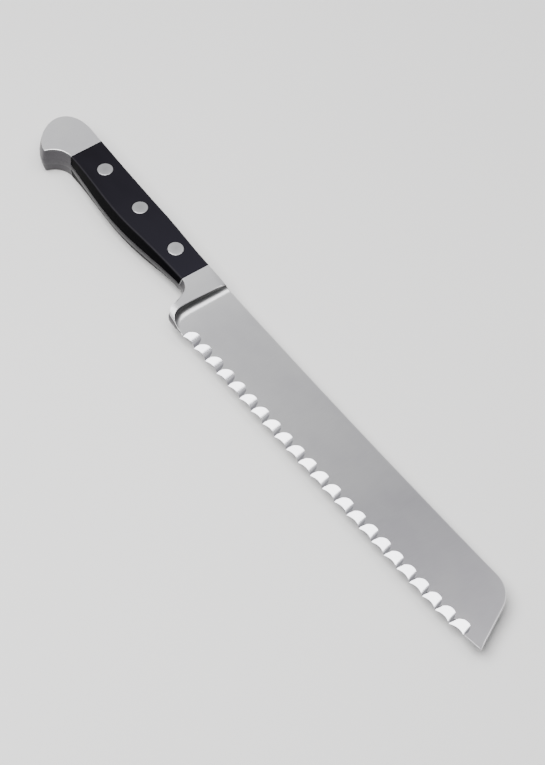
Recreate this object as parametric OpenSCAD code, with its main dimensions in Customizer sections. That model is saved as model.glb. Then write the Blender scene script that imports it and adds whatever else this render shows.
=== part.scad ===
// Forged bread knife with a full tang, two riveted scales and a hooked steel butt.
// It lies on its left side: +X runs to the tip, -Y to the cutting edge, +Z up, z = 0 under the handle.
// Inside the modules the knife is drawn about its own mid-plane: x = 0 at the first point of the
// wavy edge, y = 0 at the lowest points of that edge, z = 0 halfway through the blade.

/* [Blade] */
// Distance from the first point of the wavy edge to the tip
blade_l = 199.7; // [196:0.1:215]
// Height of the spine above the edge, near the heel and near the tip
blade_h = 30.3; // [28:0.1:32]
// How far the spine dips between heel and tip
spine_sway = 0.7; // [0:0.1:1.5]
// Thickness of the blade at the spine
spine_t = 2.4; // [1.8:0.1:3]
// Thickness of the blade where the edge is ground
edge_t = 0.9; // [0.6:0.1:1.2]
// Slope of the slanted front, measured from the edge
front_angle = 61; // [50:1:70]
// Radius of the corner between spine and slanted front
front_r = 15.5; // [10:0.5:20]
// Height of the tip above the lowest points of the edge
tip_h = 2.95; // [2:0.05:4]

/* [Wavy edge] */
// Number of scallops
scallops = 23; // [10:1:23]
// Distance between two points of the wavy edge
pitch = 8.27; // [6:0.01:8.3]
// Depth of a scallop along the edge
scallop_depth = 1.2; // [0.8:0.1:1.5]
// Height of the hollow that is ground for each scallop
hollow_h = 5.5; // [4.5:0.1:6.5]
// Bow of the whole edge, from its ends to its middle
edge_bow = 0.5; // [0:0.1:1]
// How far the last points of the edge climb towards the tip
edge_climb = 1.3; // [0:0.1:1.6]

/* [Handle] */
// Thickness of the handle over its flat part
handle_t = 13; // [12:0.1:15]
// Thickness of the bolster
bolster_t = 8.2; // [7.5:0.1:9]
// Thickness of the tang
tang_t = 3; // [2.4:0.1:3.6]
// Length of the scales
scale_l = 84.9; // [80:0.1:90]
// Height of the lowest point of the handle's flat sides above the edge
belly_h = 13.85; // [13:0.05:15]
// Rise of the belly from its lowest point to either end of the scales
belly_rise = 2.45; // [2:0.05:3]
// How far the tang stands out below the flat sides along the belly
belly_bevel = 2.1; // [1:0.1:2.4]
// How far the tang stands out beyond the flat sides along the spine
spine_bevel = 0.45; // [0.2:0.05:0.8]
// Length over which the handle thins towards the bolster
thinning_l = 33; // [28:1:40]

/* [Bolster] */
// Distance from the scales to the first point of the wavy edge
bolster_reach = 23.4; // [22:0.1:25]
// Distance from the first point of the wavy edge back to the foot of the bolster fillet
fillet_x = 7; // [5:0.1:8]
// Radius of the bolster fillet at the spine
fillet_r_spine = 3.6; // [3.4:0.1:4]
// Radius of the bolster fillet at the edge
fillet_r_edge = 4.6; // [4.2:0.1:5]
// Radius of the finger notch
notch_r = 7.5; // [7:0.1:8]
// Slope of the bolster below the finger notch
notch_angle = 65; // [60:1:70]

/* [Butt] */
// Length of the butt from the scales to its end
butt_l = 23.4; // [22:0.1:26]
// Distance from the scales to the hook
hook_l = 9.6; // [9:0.1:9.8]
// Radius of the hollow in front of the hook
hook_r = 9.9; // [9.9:0.1:11]
// Height of the end of the butt above the edge
butt_end_h = 23.25; // [22:0.05:25]
// How far the butt stands out at mid-thickness
butt_bevel = 1; // [0.5:0.1:1.2]

/* [Rivets] */
// Distance between two rivets
rivet_pitch = 27.5; // [25:0.1:29]
// Height of the middle rivet above the edge
rivet_h = 23.8; // [22:0.1:25]
// Slope of the line of rivets
rivet_slope = 0.8; // [0:0.1:1.5]
// Diameter of the rivet heads
head_d = 7.1; // [6:0.1:8]
// Diameter of the rivet tubes
tube_d = 4.8; // [4.2:0.1:5.4]
// Diameter of the rivet stems
stem_d = 3.2; // [2.4:0.1:3.6]

/* [Hidden] */
$fn = 128;
REAR = -1;
MIDDLE = 0;
FRONT = 1;

// places along the knife
joint_b = -bolster_reach;                   // between bolster and scales
joint_p = joint_b - scale_l;                // between scales and butt
scale_mid = (joint_b + joint_p) / 2;
hook_x = joint_p - hook_l;
edge_end = scallops * pitch;
climb_start = edge_end - 2 * pitch;
spine_bend = -15;                           // where the spine starts to climb along the handle
spine_climb = 0.00026;                      // its curvature there
heel_climb = 0.007;                         // curvature of the plain edge behind the wavy one
blade_back = -11;                           // where the blade's own form starts, inside the bolster
handle_front = -5;                          // where the handle's form ends, in front of the fillet
corner_x = blade_l - (front_r - (tip_h - blade_h + front_r) * cos(front_angle)) / sin(front_angle);

// heights
half_h = handle_t / 2;
half_b = bolster_t / 2;
half_tang = tang_t / 2;
belly_joint = belly_h + belly_rise;
notch_y = belly_joint - notch_r;
hook_c = belly_joint - hook_r;
hook_y = hook_c + sqrt(pow(hook_r, 2) - pow(hook_l, 2));
chin_y = 1.6;

// bevels along the outline, and how full the butt is (2 is an ellipse)
butt_fade = 0.76;                           // share of the belly's bevel that is lost at the butt
bolster_fade = 0.2;                         // and at the bolster
chin_bevel = 0.6;
heel_bevel = 0.2;
fullness_up = 2.2;                          // from the end of the butt towards the spine
fullness_down = 1.7;                        // and towards the hook

// how far forms and cutters run past what they trim
spare = 0.5;
margin = 5;

// ground faces of the blade
taper = (spine_t - edge_t) / 2 / blade_h;
hollow_slope = (edge_t + taper * (hollow_h + scallop_depth)) / (hollow_h - scallop_depth);
hollow_angle = atan(hollow_slope);
hollow_sag = scallop_depth * (sin(hollow_angle) + taper * cos(hollow_angle));
hollow_r = (pow(pitch / 2, 2) + pow(hollow_sag, 2)) / (2 * hollow_sag);

// rivets, from the outside in
seat_z = 3.2;                               // where the heads sit in the scales
tube_end = 2.6;
stem_end = -4.2;
bore_end = -4.4;

function half_face(y) = edge_t / 2 + taper * y;
function edge_y(x) = x < 0 ? edge_bow + heel_climb * x * x
    : edge_bow * pow(x / (edge_end / 2) - 1, 2)
      + edge_climb * pow(max(0, x - climb_start) / (2 * pitch), 2);
function spine_y(x) = x > corner_x ? blade_h
    : x > spine_bend ? blade_h - spine_sway * (1 - pow(2 * x / corner_x - 1, 2))
    : spine_y(spine_bend + 0.001) + spine_climb * pow(x - spine_bend, 2);
function belly_y(x) = belly_h + belly_rise / 2 * (1 - cos(360 * (x - scale_mid) / scale_l));

// half thickness of the handle along x: flat, then a smooth step down to the bolster
function half_z(x) = half_h - (half_h - half_b)
    * (1 - cos(180 * min(1, max(0, (x - joint_b) / thinning_l + 1)))) / 2;

// bevel of the belly from the butt (u = 0) to the bolster (u = 1)
function belly_out(u) = belly_bevel * (1 - butt_fade * pow(1 - u, 6) - bolster_fade * pow(u, 4));

// quarter of a superellipse, from the end of the butt towards its spine (side 1) or hook (side -1)
function butt_point(a, side) =
    let (n = side > 0 ? fullness_up : fullness_down,
         rise = side > 0 ? spine_y(hook_x) - spine_bevel - butt_end_h : butt_end_h - hook_y)
    [hook_x - (butt_l - hook_l) * pow(cos(a), 2 / n), butt_end_h + side * rise * pow(sin(a), 2 / n)];

function butt_out(a) = spine_bevel + (butt_bevel - spine_bevel) * cos(a);

// Outline of the handle's flat sides, anticlockwise. Each point is [x, y, bevel]: the bevel is how far
// the tang stands out there.
outline = [
    for (i = [0 : 12]) let (x = handle_front + i / 12 * (hook_x - handle_front))
        [x, spine_y(x) - spine_bevel, spine_bevel],
    for (a = [84 : -6 : 0]) concat(butt_point(a, 1), butt_out(a)),
    for (a = [6 : 6 : 90]) concat(butt_point(a, -1), butt_bevel),
    for (i = [1 : 9]) let (start = acos(-hook_l / hook_r), a = start + i / 10 * (90 - start))
        [joint_p + hook_r * cos(a), hook_c + hook_r * sin(a),
         butt_bevel + i / 10 * (belly_out(0) - butt_bevel)],
    for (i = [0 : 28]) let (x = joint_p + i / 28 * scale_l) [x, belly_y(x), belly_out(i / 28)],
    for (i = [1 : 8]) let (a = 90 - i / 8 * notch_angle)
        [joint_b + notch_r * cos(a), notch_y + notch_r * sin(a),
         belly_out(1) + i / 8 * (chin_bevel - belly_out(1))],
    [chin_x(), chin_y, chin_bevel],
    for (x = [handle_front - 3, handle_front]) [x, edge_y(x) + heel_bevel, heel_bevel]
];

function chin_x() = joint_b + notch_r * sin(notch_angle)
    + (notch_y + notch_r * cos(notch_angle) - chin_y) / tan(notch_angle);

function side_normal(p, q) = let (d = [q[1] - p[1], p[0] - q[0]]) d / norm(d);
function corner_normal(i) =
    let (n = len(outline), p = outline[(i + n - 1) % n], q = outline[i], r = outline[(i + 1) % n],
         a = side_normal(p, q), b = side_normal(q, r))
    (a + b) / (1 + a * b);
normals = [for (i = [0 : len(outline) - 1]) corner_normal(i)];
tang_outline = [for (i = [0 : len(outline) - 1])
    [outline[i][0], outline[i][1]] + outline[i][2] * normals[i]];

// The same outline at the height z = half_h + spare, on the walls that lean in from the tang to the
// edge of the flat sides
function lean(i) = outline[i][2] * (half_h + spare - half_tang) / (half_z(outline[i][0]) - half_tang);
face_outline = [for (i = [0 : len(outline) - 1]) tang_outline[i] - lean(i) * normals[i]];

blade_outline = concat(
    [for (x = [blade_back : 3 : -2]) [x, edge_y(x)]],
    [for (i = [0 : scallops]) [i * pitch, edge_y(i * pitch)]],
    [[blade_l, tip_h]],
    [for (a = [90 - front_angle : 6 : 89])
        [corner_x + front_r * cos(a), blade_h - front_r + front_r * sin(a)]],
    [for (i = [0 : 16]) let (x = corner_x - i / 16 * (corner_x - blade_back)) [x, spine_y(x)]]
);

// brings the knife's own frame to the part's frame
butt_end = min([for (p = tang_outline) p[0]]);
highest = max([for (p = tang_outline) p[1]]);
place = [-(blade_l + butt_end) / 2, -highest / 2, half_h];

steel = "silver";
polymer = "#2b2a2e";
rivet_steel = "darkgray";

// ---- forms shared by the pieces ----

// Whole handle with leaning walls, before its thickness is cut
module handle_form() {
    n = len(outline);
    top = half_h + spare;
    rings = [
        [for (p = face_outline) [p[0], p[1], -top]],
        [for (p = tang_outline) [p[0], p[1], -half_tang]],
        [for (p = tang_outline) [p[0], p[1], half_tang]],
        [for (p = face_outline) [p[0], p[1], top]]
    ];
    walls = [for (r = [0 : 2], i = [0 : n - 1], half = [0, 1])
        let (j = (i + 1) % n, low = r * n, high = (r + 1) * n)
        half == 0 ? [low + i, high + i, high + j] : [low + i, high + j, low + j]];
    polyhedron(
        points = [for (ring = rings, p = ring) p],
        faces = concat(walls, [[for (i = [0 : n - 1]) i]], [[for (i = [n - 1 : -1 : 0]) 3 * n + i]])
    );
}

// Space between the two flat sides of the handle
module handle_thickness() {
    start = tang_outline[0][0] + spare;
    end = joint_p - butt_l - margin;
    bend = [for (i = [0 : 16]) joint_b - thinning_l * i / 16];
    stations = concat([start], bend, [end]);
    upper = [for (x = stations) [x, half_z(x)]];
    lower = [for (i = [len(stations) - 1 : -1 : 0]) [stations[i], -half_z(stations[i])]];
    translate([0, blade_h + margin, 0]) rotate([90, 0, 0])
        linear_extrude(height = blade_h + 2 * margin) polygon(concat(upper, lower));
}

module slab(x1, x2, z1, z2) {
    translate([x1, -margin, z1]) cube([x2 - x1, blade_h + 2 * margin, z2 - z1]);
}

// Rounded lower end of the bolster, seen along the knife
module chin_profile() {
    half_chin = 1.4;
    top = 7;
    rise = 6.4;
    arc = [for (a = [0 : 10 : 90]) [top - rise * cos(a), half_chin + (half_b - half_chin) * sin(a)]];
    right = concat([[0, half_chin]], arc, [[blade_h + margin, half_b]]);
    left = [for (i = [len(right) - 1 : -1 : 0]) [right[i][0], -right[i][1]]];
    translate([joint_b - spare, 0, 0]) rotate([90, 0, 90])
        linear_extrude(height = bolster_reach) polygon(concat(right, left));
}

// Wedge that thins the bolster towards the spine, wider at the front
module bolster_chamfer() {
    width = 3.4;
    drop = 1.2;
    back = spine_y(joint_b) - spine_bevel;
    front = handle_front;
    outer = back + 2;
    top = half_b + spare;
    points = [[joint_b, back, half_b], [front, back - width, half_b],
              [front, outer, half_b - drop * (outer - back + width) / width], [front, outer, top],
              [joint_b, outer, top], [joint_b, outer, half_b]];
    faces = [[0, 1, 2], [0, 3, 1], [1, 3, 2], [0, 2, 5], [0, 4, 3], [0, 5, 4], [2, 3, 4, 5]];
    hull() polyhedron(points, faces);
}

// Tool that grinds the fillet between bolster and blade on the right side
module fillet_cutter() {
    low = -margin;
    high = blade_h + margin;
    dip = 0.02;
    rise = (fillet_r_edge - fillet_r_spine) / blade_h;
    r_low = fillet_r_edge - rise * low;
    r_high = fillet_r_edge - rise * high;
    z_low = half_face(low) + r_low - dip;
    z_high = half_face(high) + r_high - dip;
    translate([-fillet_x, low, z_low])
        rotate([-90 + atan((z_high - z_low) / (high - low)), 0, 0])
        cylinder(h = high - low, r1 = r_low, r2 = r_high);
}

// Tool that grinds one scallop on the right side
module scallop_cutter(i) {
    y1 = edge_y(i * pitch);
    y2 = edge_y((i + 1) * pitch);
    translate([(i + 0.5) * pitch, (y1 + y2) / 2, 0])
        rotate([0, 0, atan((y2 - y1) / pitch)])
        translate([0, scallop_depth, -half_face(scallop_depth)])
        rotate([hollow_angle, 0, 0]) translate([0, 2 * margin, hollow_r]) rotate([90, 0, 0])
        cylinder(h = 3 * margin, r = hollow_r);
}

module wavy_edge() {
    intersection() {
        slab(0, edge_end, -margin, margin);
        union() for (i = [0 : scallops - 1]) scallop_cutter(i);
    }
}

// Space between the two ground faces of the blade
module blade_faces() {
    low = -margin;
    high = blade_h + margin;
    section = [[low, half_face(low)], [low, -half_face(low)],
               [high, -half_face(high)], [high, half_face(high)]];
    rotate([90, 0, 90]) translate([0, 0, blade_back])
        linear_extrude(height = blade_l - blade_back + margin) polygon(section);
}

function rivet_place(i) = [scale_mid + i * rivet_pitch, rivet_h - i * rivet_pitch * tan(rivet_slope), 0];

module rivet_bores() {
    for (i = [REAR, MIDDLE, FRONT]) translate(rivet_place(i)) {
        translate([0, 0, -half_h]) cylinder(h = handle_t, d = tube_d);
        translate([0, 0, seat_z]) cylinder(h = half_h, d = head_d);
    }
}

// ---- the pieces ----

module blade() {
    difference() {
        intersection() {
            linear_extrude(height = spine_t * 2, center = true) polygon(blade_outline);
            blade_faces();
        }
        wavy_edge();
    }
}

module bolster() {
    difference() {
        intersection() {
            slab(joint_b, -fillet_x, -half_h, half_h);
            chin_profile();
        }
        for (side = [0, 1]) mirror([0, 0, side]) {
            fillet_cutter();
            bolster_chamfer();
        }
    }
}

module tang_and_butt() {
    slab(joint_p - spare, joint_b + spare, -half_tang, half_tang);
    slab(joint_p - butt_l - margin, joint_p, -half_h, half_h);
}

module forged_blank() {
    color(steel) translate(place) difference() {
        union() {
            blade();
            intersection() {
                handle_form();
                handle_thickness();
                union() {
                    bolster();
                    tang_and_butt();
                }
            }
        }
        for (i = [REAR, MIDDLE, FRONT]) translate(rivet_place(i))
            cylinder(h = 2 * tang_t, d = tube_d, center = true);
    }
}

// side 0 is the right-hand scale, side 1 the left-hand one
module scale_piece(side) {
    mirror([0, 0, side]) difference() {
        intersection() {
            handle_form();
            handle_thickness();
            slab(joint_p, joint_b, half_tang, half_h + spare);
        }
        rivet_bores();
    }
}

module rivet_head() {
    intersection() {
        translate([0, 0, seat_z]) cylinder(h = half_h, d = head_d);
        children();
    }
}

module rivet_post(i) {
    translate(rivet_place(i)) {
        rivet_head() translate(-rivet_place(i)) handle_thickness();
        translate([0, 0, stem_end]) cylinder(h = seat_z - stem_end, d = stem_d);
    }
}

module rivet_socket(i) {
    translate(rivet_place(i)) difference() {
        union() {
            mirror([0, 0, 1]) rivet_head() translate(-rivet_place(i)) handle_thickness();
            translate([0, 0, -seat_z]) cylinder(h = seat_z + tube_end, d = tube_d);
        }
        translate([0, 0, bore_end]) cylinder(h = handle_t, d = stem_d);
    }
}

module scale_right() { color(polymer) translate(place) scale_piece(0); }
module scale_left() { color(polymer) translate(place) scale_piece(1); }
module rivet_post_rear() { color(rivet_steel) translate(place) rivet_post(REAR); }
module rivet_post_middle() { color(rivet_steel) translate(place) rivet_post(MIDDLE); }
module rivet_post_front() { color(rivet_steel) translate(place) rivet_post(FRONT); }
module rivet_socket_rear() { color(rivet_steel) translate(place) rivet_socket(REAR); }
module rivet_socket_middle() { color(rivet_steel) translate(place) rivet_socket(MIDDLE); }
module rivet_socket_front() { color(rivet_steel) translate(place) rivet_socket(FRONT); }

forged_blank();
scale_right();
scale_left();
rivet_post_rear();
rivet_post_middle();
rivet_post_front();
rivet_socket_rear();
rivet_socket_middle();
rivet_socket_front();
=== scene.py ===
"""Looks of the forged bread knife: it lies on its left side on a plain pale table."""

import math

import bmesh
import bpy
import numpy as np
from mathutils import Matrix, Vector


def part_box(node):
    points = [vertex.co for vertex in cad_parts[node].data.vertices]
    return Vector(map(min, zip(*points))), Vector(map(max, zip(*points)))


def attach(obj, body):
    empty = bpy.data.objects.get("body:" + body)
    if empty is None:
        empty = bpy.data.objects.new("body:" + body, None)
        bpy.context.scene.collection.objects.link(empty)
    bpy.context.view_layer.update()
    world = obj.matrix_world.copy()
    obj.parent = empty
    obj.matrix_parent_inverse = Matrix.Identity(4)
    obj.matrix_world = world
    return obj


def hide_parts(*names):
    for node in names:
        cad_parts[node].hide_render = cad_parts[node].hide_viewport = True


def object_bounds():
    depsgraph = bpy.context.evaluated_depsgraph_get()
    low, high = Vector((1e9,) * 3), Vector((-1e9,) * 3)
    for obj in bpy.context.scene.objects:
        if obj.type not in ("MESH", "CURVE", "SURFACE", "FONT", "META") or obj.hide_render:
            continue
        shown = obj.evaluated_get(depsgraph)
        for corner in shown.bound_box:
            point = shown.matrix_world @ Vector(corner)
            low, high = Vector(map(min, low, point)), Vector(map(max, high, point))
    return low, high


MM = 0.001

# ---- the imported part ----
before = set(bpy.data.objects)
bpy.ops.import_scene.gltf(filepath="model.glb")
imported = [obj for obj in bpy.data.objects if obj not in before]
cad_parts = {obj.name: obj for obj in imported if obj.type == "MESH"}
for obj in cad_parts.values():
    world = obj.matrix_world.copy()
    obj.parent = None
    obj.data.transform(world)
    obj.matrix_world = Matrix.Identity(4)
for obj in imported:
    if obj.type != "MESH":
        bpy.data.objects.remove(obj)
cad_low, cad_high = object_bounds()
blank_low, blank_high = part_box("forged_blank")
scale_low, scale_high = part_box("scale_right")

# ---- design sizes in millimetres, in a frame drawn about the blade's mid-plane ----
# x = 0 at the first point of the wavy edge, y = 0 at the lowest points of that edge.
BLADE_L = 199.7
BLADE_H = 30.3
SPINE_SWAY = 0.7
SPINE_T = 2.4
EDGE_T = 0.9
FRONT_ANGLE = math.radians(61)
FRONT_R = 15.5
TIP_H = 2.95
TIP_CUT = 0.2  # the pointed tip ends this far short, in a blunt end

SCALLOPS = 23
PITCH = 8.27
SCALLOP_DEPTH = 1.2
HOLLOW_TOP = 5.5  # height of a hollow at its middle
RIDGE_TOP = 2.2  # and between two hollows
ARCH_POWER = 2.7
HONED = 0.07  # thickness left along the wavy edge
EDGE_BOW = 0.5
EDGE_CLIMB = 1.3  # rise of the edge over its last two scallops
HEEL_CLIMB = 0.007

HALF_B = 4.1
FILLET_X = 7.0
FILLET_SPINE = 3.6
FILLET_EDGE = 4.6
SWEEP = 4.4  # how far the fillet's foot sweeps forward at SWEEP_Y
SWEEP_Y = 0.9
SWEEP_FADE = 2.3
CHAMFER_SLOPE = 0.353  # slanted top of the bolster next to the spine
CHAMFER_DROP = 3.4
CHAMFER_FRONT = -5
CHIN_ROUND_TOP = 7  # rounding of the bolster's side towards the chin
CHIN_ROUND_H = 6.4
CHIN_HALF_T = 1.2
NOTCH_R = 7.5
NOTCH_ANGLE = math.radians(65)
NOTCH_BEVEL = 0.6
CHIN_Y = 1.6
CHIN_BEVEL = 0.5
PLAIN_BEVEL = 0.15
PLAIN_START = -8.0
PLAIN_STOP = -1.5

HALF_TANG = 1.5
BELLY_H = 13.85
BELLY_RISE = 2.45
BELLY_BEVEL = 2.1
BELLY_FADE_BUTT = 0.76  # share of the belly's bevel that is gone at the butt
BELLY_FADE_BOLSTER = 0.2  # and at the bolster
SPINE_BEVEL = 0.45
SPINE_BEND = -15.0
SPINE_CLIMB = 0.00026
THINNING_L = 33.0

BUTT_L = 23.4
BUTT_END_H = 23.25
BUTT_BEVEL = 1.0
BUTT_FULL_ABOVE = 2.2  # powers of the two quarter curves round the end
BUTT_FULL_BELOW = 1.7
HOOK_L = 9.6
HOOK_R = 9.9

HEAD_SEAT = 3.2
TUBE_R = 2.4
STEM_R = 1.6
TUBE_END = 2.6

EDGE_END = SCALLOPS * PITCH
CLIMB_START = EDGE_END - 2 * PITCH
HALF_H = (scale_high.z - blank_low.z) / MM / 2
FRONT_CUT = FRONT_R - (TIP_H - BLADE_H + FRONT_R) * math.cos(FRONT_ANGLE)
CORNER_X = BLADE_L - FRONT_CUT / math.sin(FRONT_ANGLE)
TAPER = (SPINE_T - EDGE_T) / 2 / BLADE_H

# where that frame sits in the part's own, and the places that follow from the CAD's boxes
ORIGIN = np.array([blank_high.x / MM - BLADE_L, blank_low.y / MM, HALF_H])
JOINT_P = scale_low.x / MM - ORIGIN[0]
JOINT_B = scale_high.x / MM - ORIGIN[0]
SCALE_L = JOINT_B - JOINT_P
SCALE_MID = (JOINT_B + JOINT_P) / 2
HOOK_X = JOINT_P - HOOK_L
BELLY_JOINT = BELLY_H + BELLY_RISE
NOTCH_Y = BELLY_JOINT - NOTCH_R
HOOK_C = BELLY_JOINT - HOOK_R
HOOK_Y = HOOK_C + math.sqrt(HOOK_R**2 - HOOK_L**2)
CHIN_X = (
    JOINT_B + NOTCH_R * math.sin(NOTCH_ANGLE)
    + (NOTCH_Y + NOTCH_R * math.cos(NOTCH_ANGLE) - CHIN_Y) / math.tan(NOTCH_ANGLE)
)

# ---- how finely things are drawn ----
LEAN_ROWS = 6
CORNER_ROWS = 7
WALL_ROWS = LEAN_ROWS + CORNER_ROWS + 2
SPLIT_ROWS = 12
SPLIT_SHARE = 0.18
HOLLOW_ROWS = WALL_ROWS + SPLIT_ROWS
FACE_ROWS = 18
SCALE_ROWS = 12
HEEL_LINES = 5
HOLLOW_LINES = 19
PLAIN_LINES = 30
JOINT_POINTS = 24
# shares of the way from the joint to the bolster's front edge, and of the turn round the fillet
BOLSTER_SHARES = np.linspace(0, 1, 44)
BOLSTER_SHARES[-6:] = (0.955, 0.972, 0.984, 0.991, 0.996, 1.0)
BOLSTER_LINES = len(BOLSTER_SHARES)
FILLET_SHARES = np.concatenate([[0.01, 0.025, 0.045, 0.07], np.linspace(0.1, 1, 30)])

# ---- small roundings and gaps in millimetres ----
SOFT = 0.12  # rounding of the blank's outermost edges, seen from above
SOFT_Z = 0.35  # and along the thickness
WALL_R = 0.28  # rounding at the top of the blank's walls
SPINE_R = 0.3  # and along the blade's spine
LONGEST_ROUND = 0.85  # share of a wall that its rounding may take up
SUPPORT = 0.12  # spacing of the rows next to a rounding
NARROW = 3  # walls get smaller where the blade is narrower than this
LEAST_ROOM = 0.12  # down to this share
WAVY_ROOM = 0.02  # and this one along the wavy edge
PAST_BEVEL = 0.1  # a wall is as high as the surface this far inside it
EDGE_WALL = 0.16  # least height of the walls at the edge
SPINE_WALL = 0.28  # and at the spine
THINNEST = 0.03  # bevel that is left where the fillet has ended
EDGE_BEVEL = 0.02
END_CLEAR = 0.04  # gap from the plain edge to the nearest line across a hollow
STEEP = 8  # slope of the surface behind the fillet
# height share and inset of the lines of the bolster's short wall at the joint
JOINT_WALL = ((0.0, 0.0), (0.5, 0.0), (0.9, 0.0), (0.97, 0.03))
JOINT_START = 2  # the bands start at this one: those before it end in the same places
JOINT_R = 0.14
LEAST_STEP = 0.1
# insets of the butt's rows at the joint
BUTT_INSET = np.concatenate([np.zeros(LEAN_ROWS + 1), np.linspace(0, 0.14, 6), [0.19, 0.25]])
SCALE_GAP = 0.03
SCALE_INSET = 0.08
SCALE_TOE = 0.14
SCALE_END_R = 0.12
HEAD_SUNK = 0.03  # rivet heads lie this far under the scale
HEAD_ROUND = 0.14
CHAMFER_W = 0.2  # chamfer of a rivet's head
CHAMFER_H = 0.17
RIM_W = 0.45  # rim of a rivet's head, with a painted highlight
RIM_H = 0.25
LEAN_ABOVE = HEAD_SEAT + 0.5
STEM_PLAY = 0.01
STEM_GAP = 0.15  # room under the stem's end
BORE_PLAY = 0.02
HEAD_PLAY = 0.06
CUTTER_H = 9
FLOOR_GAP = 0.00005  # metres

# ---- painted highlights, from 0 for none to 1 for the brightest ----
WALL_HIGHLIGHT = np.array([0.0] * LEAN_ROWS + [0.1, 0.4, 0.9, 1, 0.9, 0.5, 0.15, 0, 0])
SPINE_HIGHLIGHT = np.array([0.0, 0.2, 0.6, 0.8, 0.8, 0.8, 0.7, 0.5, 0.3] + [0.0] * LEAN_ROWS)
PLAIN_HIGHLIGHT = np.array([0.0] * LEAN_ROWS + [0.1, 0.2, 0.3, 0.3, 0.3, 0.3, 0.2, 0.1, 0])
FRONT_HIGHLIGHT = np.array([0.3, 0.8, 1, 1, 1, 0.5, 0])
JOINT_HIGHLIGHT = 0.8
CHIN_HIGHLIGHT = 0.9
CHIN_HIGHLIGHT_TOP = 9
CHIN_HIGHLIGHT_FADE = 7
SCALE_HIGHLIGHT = 0.7
HEAD_HIGHLIGHT = 0.35
# painted shade, from 0 for none to 1 for the darkest
FILLET_SHADE = 0.72  # share of the fillet that gets painted shade
FILLET_SHADE_AT_SPINE = 0.35  # part of that share which is left at the spine
FILLET_SHADE_FADE = 10  # distance from the spine at which it is all there
# painted shade along the tang's long edges
TANG_SHADE = 0.75
# painted shade on the scales' side walls, row by row
WALL_SHADE = np.array([1.0] * (LEAN_ROWS + 3) + [0.8, 0.5, 0.2] + [0.0] * (WALL_ROWS - LEAN_ROWS - 6))

# ---- material slots of the blank, and kinds of line across it ----
SATIN, GROUND, SIDE = 0, 1, 2
BOLSTER, FILLET, HEEL, WAVY, PLAIN = 1, 2, 3, 4, 5

# ---- meshes ----
MERGE = 1.5e-6
MERGE_CUT = 2e-6
COLLAPSE = 1e-7
SHARP = 28.0
SHARP_SCALE = 40.0
SHARP_GROUND = 6.0  # the ridges between hollows are sharp edges too
SHARP_BORE = math.radians(45)


# ---- outlines and surfaces of the design ----
def half_face(y):
    """Half of the blade's thickness."""
    return EDGE_T / 2 + TAPER * y


def edge_y(x):
    """Line through the points of the wavy edge, with the plain parts at heel and tip."""
    x = np.asarray(x, float)
    heel = EDGE_BOW + HEEL_CLIMB * x * x
    inner = np.minimum(x, EDGE_END)
    climb = EDGE_CLIMB * (np.maximum(0, inner - CLIMB_START) / (2 * PITCH)) ** 2
    wavy = EDGE_BOW * (inner / (EDGE_END / 2) - 1) ** 2 + climb
    last = EDGE_BOW + EDGE_CLIMB
    straight = last + (TIP_H - last) * (x - EDGE_END) / (BLADE_L - EDGE_END)
    return np.where(x < 0, heel, np.where(x < EDGE_END, wavy, straight))


def spine_y(x):
    x = np.asarray(x, float)
    inner = np.maximum(x, SPINE_BEND)
    y = BLADE_H - SPINE_SWAY * (1 - (2 * inner / CORNER_X - 1) ** 2)
    return y + SPINE_CLIMB * np.minimum(0, x - SPINE_BEND) ** 2


def top_y(x):
    """Spine, rounded corner and slanted front as one line."""
    x = np.asarray(x, float)
    arc = BLADE_H - FRONT_R + np.sqrt(np.maximum(0, FRONT_R**2 - np.maximum(0, x - CORNER_X) ** 2))
    line = TIP_H + (BLADE_L - x) * math.tan(FRONT_ANGLE)
    meet = CORNER_X + FRONT_R * math.sin(FRONT_ANGLE)
    return np.where(x < CORNER_X, spine_y(np.minimum(x, CORNER_X)), np.where(x < meet, arc, line))


def belly_y(x):
    """Lower border of the scales' flat sides."""
    return BELLY_H + BELLY_RISE / 2 * (1 - np.cos(2 * np.pi * (np.asarray(x) - SCALE_MID) / SCALE_L))


def belly_out(x):
    """How far the handle's wall leans out below that border."""
    u = (np.asarray(x) - JOINT_P) / SCALE_L
    return BELLY_BEVEL * (1 - BELLY_FADE_BUTT * (1 - u) ** 6 - BELLY_FADE_BOLSTER * u**4)


def half_z(x):
    """Half of the handle's thickness, which gets less towards the bolster."""
    step = np.clip((np.asarray(x) - JOINT_B) / THINNING_L + 1, 0, 1)
    return HALF_H - (HALF_H - HALF_B) * (1 - np.cos(np.pi * step)) / 2


def soft_min(a, b, width):
    """The smaller of two heights, with a rounded change between them."""
    h = np.maximum(width - np.abs(a - b), 0) / width
    return np.minimum(a, b) - h * h * width / 4


def bolster_top(x, y):
    """Height of the bolster's own surface above the mid-plane."""
    back = spine_y(JOINT_B) - SPINE_BEVEL
    along = np.clip((x - JOINT_B) / (CHAMFER_FRONT - JOINT_B), 0, 1)
    chamfer = HALF_B - CHAMFER_SLOPE * (y - back + CHAMFER_DROP * along)
    low = np.clip((CHIN_ROUND_TOP - y) / CHIN_ROUND_H, 0, 0.97)
    chin = CHIN_HALF_T + (HALF_B - CHIN_HALF_T) * np.sqrt(1 - low**2)
    return soft_min(np.minimum(chin, HALF_B), chamfer, width=0.25)


def fillet_r(y):
    return FILLET_EDGE + (FILLET_SPINE - FILLET_EDGE) * y / BLADE_H


def bend(y):
    """How far the foot of the fillet sweeps forward near the edge."""
    return SWEEP * np.exp(-(y - SWEEP_Y) / SWEEP_FADE)


def fillet_top(x, y):
    """Height of the fillet, and of a steep slope behind it."""
    r = fillet_r(y)
    behind = -FILLET_X + bend(y) - x
    reach = r * 0.999
    inside = np.clip(behind, 0, reach)
    rise = r - np.sqrt(r * r - inside * inside)
    return half_face(y) + rise + STEEP * np.maximum(0, behind - reach)


def blank_top(x, y):
    return soft_min(bolster_top(x, y), fillet_top(x, y), width=0.35)


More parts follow.
